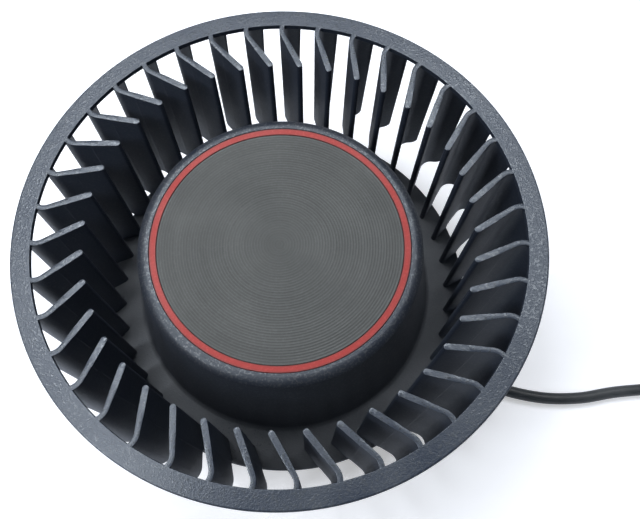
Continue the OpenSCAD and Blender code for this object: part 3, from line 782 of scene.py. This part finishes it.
def blade_grid(edge=0.05 * MM):
    """One blade, near the X axis, as stations by section points.

    Each section goes up one face and down the other. Between face and edge lies a quarter round: the width
    falls by edge * (1 - cos t) while the place moves outwards by edge * sin t, for t from 0 to 90 degrees.
    Along the root the two faces are let out or held back, more and more, so that the end follows the drum.
    """
    chain = with_step(lower_chain())
    s, z, out_s, out_z = chain.T
    root = np.clip((s - bend_l) / (top_s - bend_l), 0, 1)[:, None]
    h = half_width(s)
    e = np.minimum(edge, EDGE_SHARE * h)[:, None]
    t = np.array([0, np.pi / 4, np.pi / 2])
    inset, slim = e * (1 - np.sin(t)), e * (1 - np.cos(t))
    low_at = np.stack([s[:, None] - inset * out_s[:, None], z[:, None] - inset * out_z[:, None]], -1)
    flush = top_z - TOP_GAP - ROOT_SINK * root
    top_at = np.stack([np.broadcast_to(s[:, None], inset.shape), flush - inset], -1)
    width = h[:, None] - slim
    column_at = np.concatenate([low_at[:, ::-1], top_at, top_at[:, ::-1], low_at], 1)
    column_w = np.concatenate([width[:, ::-1], width, -width[:, ::-1], -width], 1)
    skew = root * (reaches(edge_top_r, bend_l, column_w) - top_s)
    middle, normal = line_at(column_at[..., 0] + skew)
    plan = middle + normal * column_w[..., None]
    return np.concatenate([plan, column_at[..., 1:]], -1)


# %% All blades
one_blade = blade_grid()
stations, section = one_blade.shape[:2]
angles = blade_phase + np.arange(blade_count) * 2 * np.pi / blade_count
cosines, sines = np.cos(angles)[:, None, None], np.sin(angles)[:, None, None]
shape = (blade_count, stations, section)
x, y, z = one_blade[None, ..., 0], one_blade[None, ..., 1], one_blade[None, ..., 2]
turned = [x * cosines - y * sines, x * sines + y * cosines, np.broadcast_to(z, shape)]
all_blades = np.stack(turned, -1)
one_faces = grid_faces(stations, section, False, True)
offsets = (np.arange(blade_count) * stations * section)[:, None, None]
blade_faces = (one_faces[None] + offsets).reshape(-1, 4).tolist()
root_cap = np.arange(section)[None] + (stations - 1) * section + offsets[:, 0]
blade_faces += root_cap.tolist()
# Rounded blade edges turn paler: wear, and a painted glint.
edge_wear_and_glint = np.tile([0.8, 1.0, 0.0, 0.0, 1.0, 0.8], 2)
edge_tops = np.repeat([0.0, 1.0, 0.0], [4, 4, 4])
blade_masks = {"wear_and_glint": np.broadcast_to(edge_wear_and_glint, shape), "tops": np.broadcast_to(edge_tops, shape)}
blades = add_piece(
    "wheel_blades", all_blades, blade_faces, "rotor", "charcoal_plastic", charcoal, sharp=50, **blade_masks
)
blades.modifiers.new("even faces", "WEIGHTED_NORMAL").keep_sharp = True
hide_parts("impeller_blades")

# %% [markdown]
# ## Hub face
# The disc has fine turned grooves and lies in a red ring. The grooves are real: the disc's height is a
# raised cosine of the radius.

# %% Finishes of the face
GROOVE_SAMPLES = 8
MEAN_ROW = 2 / math.pi
SMEAR_IN, SMEAR_OUT = 1.0 * MM, 8.0 * MM
CRISP_MIDDLE, CRISP_OUT = 0.12, 0.55
OWN_SHARE, PLAIN_TONE = 0.36, 0.2
SEAM_SHADE_FROM, SEAM_SHADE_TO, SEAM_SHADE_SHARE = 0.2 * MM, 0.5 * MM, 0.6
DISC_ROUGH, RED_ROUGH = (0.5, 0.6), (0.42, 0.52)
FACE_BUMP = 4e-6


def grooved_outline():
    """Disc outline: flat below, round rim, then height = top - depth * (1 - cos(2 pi r / pitch)) / 2."""
    rim = 0.06 * MM
    r = np.arange(0, face_r - 2 * rim, groove_pitch / GROOVE_SAMPLES)[::-1]
    height = face_z - groove_depth * (1 - np.cos(2 * np.pi * r / groove_pitch)) / 2
    quarter_up = np.linspace(0, np.pi / 2, 5)
    edge_r = face_r - rim + rim * np.cos(quarter_up)
    edge_z = face_z - rim + rim * np.sin(quarter_up)
    bottom = np.array([[0, inlay_z], [face_r, inlay_z]])
    return np.concatenate([bottom, np.column_stack([edge_r, edge_z]), np.column_stack([r, height])])


def disc_finish():
    """Grey plate: a painted shade in the grooves and a painted highlight on their lands, each ring a
    little different, with a fleck.

    Towards the middle the plate is smeared, and lands and grooves come nearer to their mean.
    """
    made, tree, shader = new_material("grooved plate", Specular_Tint=colour(0.9, 0.95, 0.95))
    grain = place_group(tree, grain_group, Grains_per_metre=5200.0)
    rows = place_group(tree, groove_group)
    radius, _ = upright_parts(tree)
    crisp = remap(tree, radius, SMEAR_IN, SMEAR_OUT, CRISP_MIDDLE, CRISP_OUT)
    # Painted shade and highlight: each groove is darker and each land paler, less so towards the middle.
    painted_groove_shade = maths(tree, "MULTIPLY", maths(tree, "SUBTRACT", MEAN_ROW, rows["Height"]), crisp)
    own = maths(tree, "MULTIPLY", maths(tree, "ADD", rows["Tone"], grain["Fleck"]), crisp)
    groove_shade_and_tone = maths(tree, "ADD", painted_groove_shade, maths(tree, "MULTIPLY", own, OWN_SHARE))
    tone = maths(tree, "ADD", groove_shade_and_tone, PLAIN_TONE)
    shade = mixed(tree, tone, colour(0.0255, 0.0275, 0.0285), colour(0.0585, 0.063, 0.0655))
    tree.links.new(shade, shader.inputs["Base Color"])
    tree.links.new(remap(tree, grain["Blotch"], 0, 1, *DISC_ROUGH), shader.inputs["Roughness"])
    bump(tree, shader, grain["Height"], FACE_BUMP)
    return made


def red_finish():
    """Satin red plastic, darker towards both edges of the ring as a painted shade in its seams."""
    made, tree, shader = new_material("satin red", Specular_IOR_Level=0.3)
    grain = place_group(tree, grain_group, Grains_per_metre=4200.0)
    radius, _ = upright_parts(tree)
    off_middle = maths(tree, "ABSOLUTE", maths(tree, "SUBTRACT", radius, (face_r + accent_r) / 2))
    # Painted shade: the red darkens towards both seams, beside the disc and the hub.
    seam_shade = remap(tree, off_middle, SEAM_SHADE_FROM, SEAM_SHADE_TO, 0, SEAM_SHADE_SHARE)
    tone = mixed(tree, grain["Fleck"], colour(0.28, 0.019, 0.017), colour(0.33, 0.029, 0.026))
    tree.links.new(mixed(tree, seam_shade, tone, colour(0.06, 0.03, 0.03)), shader.inputs["Base Color"])
    tree.links.new(remap(tree, grain["Blotch"], 0, 1, *RED_ROUGH), shader.inputs["Roughness"])
    bump(tree, shader, grain["Height"], FACE_BUMP)
    return made


# %% Disc and red ring
disc_outline = grooved_outline()
disc_steps = 192
disc = add_piece(
    "hub_face",
    spin(disc_outline, disc_steps),
    grid_faces(disc_steps, len(disc_outline), True, False),
    "rotor",
    "face_plate",
    disc_finish(),
    sharp=60,
)
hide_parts("hub_disc")
accent_in = face_r + slip
accent_outline, accent_normals = rounded(
    [(accent_in, inlay_z), (accent_r, inlay_z), (accent_r, hub_z), (accent_in, hub_z)],
    np.array([0.03, 0.03, 0.07, 0.07]) * MM,
)
accent = revolved("red_ring", accent_outline, accent_normals, "rotor", "red_plastic", red_finish())
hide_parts("accent_ring")

# %% [markdown]
# ## Lead
# The sleeved lead leaves under the wheel, drops to the table and runs out to the right. Past the picture's
# edge it turns back once and ends in its connector. The points are the construction's own, in metres.

# %% Route of the lead
cable_d = 2.0 * MM
lead_dir = math.radians(-26)
lead_z, floor_z = 3.25, 1.05
bend_mid, turn_r = np.array([78.0, -7.0]), 12.0


def out(r, z):
    """Point at radius r along the lead's direction, in millimetres."""
    return [r * math.cos(lead_dir), r * math.sin(lead_dir), z]


turn_angles = np.radians(np.arange(-90, 90, 15))
route = np.concatenate([
    [out(13.6, lead_z), out(20, lead_z), out(25, lead_z), out(28, lead_z)],
    [[28.5, -13.9, 2.95], [31, -15.1, 1.95], [34, -16.6, 1.15]],
    [[38.5, -18.6, floor_z], [44.5, -20, floor_z], [50.5, -20.2, floor_z]],
    [[56, -19.5, floor_z], [61, -19.2, floor_z], [70, -19, floor_z]],
    np.column_stack([
        bend_mid[0] + turn_r * np.cos(turn_angles),
        bend_mid[1] + turn_r * np.sin(turn_angles),
        np.full(len(turn_angles), floor_z),
    ]),
    [[78, 5, floor_z]],
]) * MM


def smooth_route(points, per_span=8):
    """Curve through the points: on each span a cubic whose slopes are half the step between neighbours."""
    padded = np.concatenate([2 * points[:1] - points[1:2], points, 2 * points[-1:] - points[-2:-1]])
    a, b, c, d = padded[:-3, None], padded[1:-2, None], padded[2:-1, None], padded[3:, None]
    t = np.linspace(0, 1, per_span, endpoint=False)[None, :, None]
    square, cube = 2 * a - 5 * b + 4 * c - d, 3 * b - a - 3 * c + d
    curve = 0.5 * (2 * b + (c - a) * t + square * t**2 + cube * t**3)
    return np.concatenate([curve.reshape(-1, 3), points[-1:]])


# %% Lead
SLEEVE_ROUGH, SLEEVE_BUMP = (0.38, 0.5), 6e-6


def tube(path, radius, sides):
    """Circle of that radius carried along a path, square to it and level with the table."""
    ahead = np.gradient(path, axis=0)
    ahead /= np.linalg.norm(ahead, axis=1, keepdims=True)
    across = np.cross([0.0, 0.0, 1.0], ahead)
    across /= np.linalg.norm(across, axis=1, keepdims=True)
    up = np.cross(ahead, across)
    a = np.linspace(0, 2 * np.pi, sides, endpoint=False)[None, :, None]
    return path[:, None] + radius * (np.cos(a) * across[:, None] + np.sin(a) * up[:, None])


def sleeve_finish():
    """Satin sleeve with faint blotches and a fine grain."""
    made, tree, shader = new_material("lead sleeve")
    grain = place_group(tree, grain_group, Grains_per_metre=2600.0)
    tone = mixed(tree, grain["Blotch"], colour(0.034, 0.039, 0.044), colour(0.056, 0.062, 0.068))
    tree.links.new(tone, shader.inputs["Base Color"])
    tree.links.new(remap(tree, grain["Blotch"], 0, 1, *SLEEVE_ROUGH), shader.inputs["Roughness"])
    bump(tree, shader, grain["Height"], SLEEVE_BUMP)
    return made


path = smooth_route(route)
sides = 20
lead_faces = grid_faces(len(path), sides, False, True)[:, ::-1].tolist()
lead_faces += [list(range(sides))[::-1], list(range((len(path) - 1) * sides, len(path) * sides))]
lead_points = tube(path, cable_d / 2, sides)
lead = add_piece("lead", lead_points, lead_faces, "stator", "cable_sleeve", sleeve_finish(), sharp=50)
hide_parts("cable")

# %% [markdown]
# ## Motor parts
# These pieces keep the shapes of the construction and get their own finishes: turned, drawn, stamped or
# sintered metal, wound wire, moulded nylon, epoxy, ceramic and lacquered board.

# %% Finishes of the motor parts
SMUDGE_TINT, SMUDGE_GLOSS, SMUDGE_DULL = 0.6, 0.06, 0.1
TRACK_PITCH, TRACK_EDGE = 1.3 * MM, (0.22, 0.18)
BREAKS_PER_METRE, BREAK_CUT = 160.0, (0.44, 0.46)


def made_metal(name, group, dark, light, rough, depth, **values):
    """Metal with one group's marks: they tint it, roughen it and stand out from it."""
    made, tree, shader = new_material(name, Metallic=1.0)
    marks = place_group(tree, group, **values)
    smudge = place_group(tree, mark_group)["Smudge"]
    mark = marks["Tone" if "Tone" in marks else "Height"]
    tint = maths(tree, "MULTIPLY", mark, remap(tree, smudge, 0, 1, 1, SMUDGE_TINT))
    tree.links.new(mixed(tree, tint, dark, light), shader.inputs["Base Color"])
    dull = remap(tree, smudge, 0, 1, rough - SMUDGE_GLOSS, rough + SMUDGE_DULL)
    tree.links.new(dull, shader.inputs["Roughness"])
    bump(tree, shader, marks["Height"], depth)
    return made


def solder_mask(name):
    """Green lacquer over copper tracks that run round the axis in broken rings."""
    made, tree, shader = new_material(name, Roughness=0.3, Coat_Weight=0.3)
    radius, _ = upright_parts(tree)
    step = maths(tree, "FRACT", maths(tree, "DIVIDE", radius, TRACK_PITCH))
    off_middle = maths(tree, "ABSOLUTE", maths(tree, "SUBTRACT", step, 0.5))
    breaks = remap(tree, noise(tree, BREAKS_PER_METRE, 0.0), *BREAK_CUT)
    broken = maths(tree, "MULTIPLY", remap(tree, off_middle, *TRACK_EDGE), breaks)
    tint = mixed(tree, broken, colour(0.012, 0.075, 0.04), colour(0.03, 0.16, 0.08))
    tree.links.new(tint, shader.inputs["Base Color"])
    bump(tree, shader, broken, 3e-5)
    return made


def dress(finish, *names):
    """Puts a finish on construction pieces that keep their own shape."""
    for node_name in names:
        for place in nodes[node_name].material_slots:
            place.material = finish
    print("%s: %s" % (finish.name, ", ".join(names)))


# %% [markdown]
# ## Which finish goes where
# Bush and bearing tube come off a lathe, the yoke is drawn, the core is a stack of sheets and the plastics
# are moulded. Each finish is made once and put on all the pieces that were made that way.

# %% Dressing the motor parts
brass = [colour(0.5, 0.33, 0.12), colour(0.74, 0.55, 0.26)]
steel = [colour(0.4, 0.41, 0.43), colour(0.6, 0.61, 0.63)]
copper = [colour(0.36, 0.12, 0.04), colour(0.66, 0.27, 0.1)]


def shades(dark, light, worn):
    """The three shades of a moulded finish, by name."""
    return {"dark": colour(*dark), "light": colour(*light), "worn": colour(*worn)}


black = shades((0.012, 0.012, 0.013), (0.03, 0.03, 0.032), (0.06, 0.06, 0.06))
nylon = shades((0.62, 0.59, 0.52), (0.76, 0.74, 0.68), (0.82, 0.8, 0.75))
ferrite = shades((0.018, 0.018, 0.02), (0.05, 0.05, 0.054), (0.08, 0.08, 0.085))
ceramic = shades((0.3, 0.22, 0.15), (0.42, 0.34, 0.25), (0.5, 0.44, 0.36))

turned_brass = made_metal("turned brass", lathe_group, *brass, 0.26, 6e-6)
knurled_brass = made_metal("knurled brass", drawn_group, *brass, 0.32, 2e-5, Streaks_per_metre=1600.0)
stamped_brass = made_metal("stamped brass", drawn_group, *brass, 0.24, 4e-6)
bronze = made_metal("sintered bronze", grain_group, *copper, 0.45, 1e-5, Grains_per_metre=5200.0)
drawn_steel = made_metal("drawn steel", drawn_group, *steel, 0.3, 6e-6)
ground_steel = made_metal("ground steel", lathe_group, *steel, 0.16, 2e-6, Rings_per_metre=20000.0)
sheets = made_metal("sheet stack", sheet_group, *steel, 0.36, 4e-5)
wire = made_metal("enamelled wire", wire_group, *copper, 0.26, 8e-5)
bonded_ferrite = moulded("bonded ferrite", **ferrite, rough=0.55, grains=4200, depth=4e-5)
black_moulding = moulded("black moulding", **black, rough=0.42, grains=3000, depth=4e-5)
epoxy = moulded("chip epoxy", **black, rough=0.5, grains=9000, depth=1e-5)
off_white = moulded("natural nylon", **nylon, rough=0.4, grains=2600, depth=2e-5, Subsurface_Weight=0.1)
chip_ceramic = moulded("chip ceramic", **ceramic, rough=0.45, grains=8000, depth=1e-5)

dress(charcoal, "base_plate")
dress(turned_brass, "shaft_bush", "bearing_tube")
dress(knurled_brass, "threaded_inserts")
dress(stamped_brass, "terminal_pins", "connector_contacts")
dress(bronze, "sleeve_bearing")
dress(drawn_steel, "rotor_yoke")
dress(ground_steel, "shaft")
dress(sheets, "stator_core")
dress(wire, "coils")
dress(bonded_ferrite, "magnet_ring")
dress(black_moulding, "shaft_clip", "bottom_cap", "cable_clip")
dress(epoxy, "driver_chip", "hall_sensor")
dress(off_white, "thrust_pad", "oil_seal", "upper_insulator", "lower_insulator", "connector_housing")
dress(chip_ceramic, "chip_parts")
dress(solder_mask("solder mask"), "circuit_board")
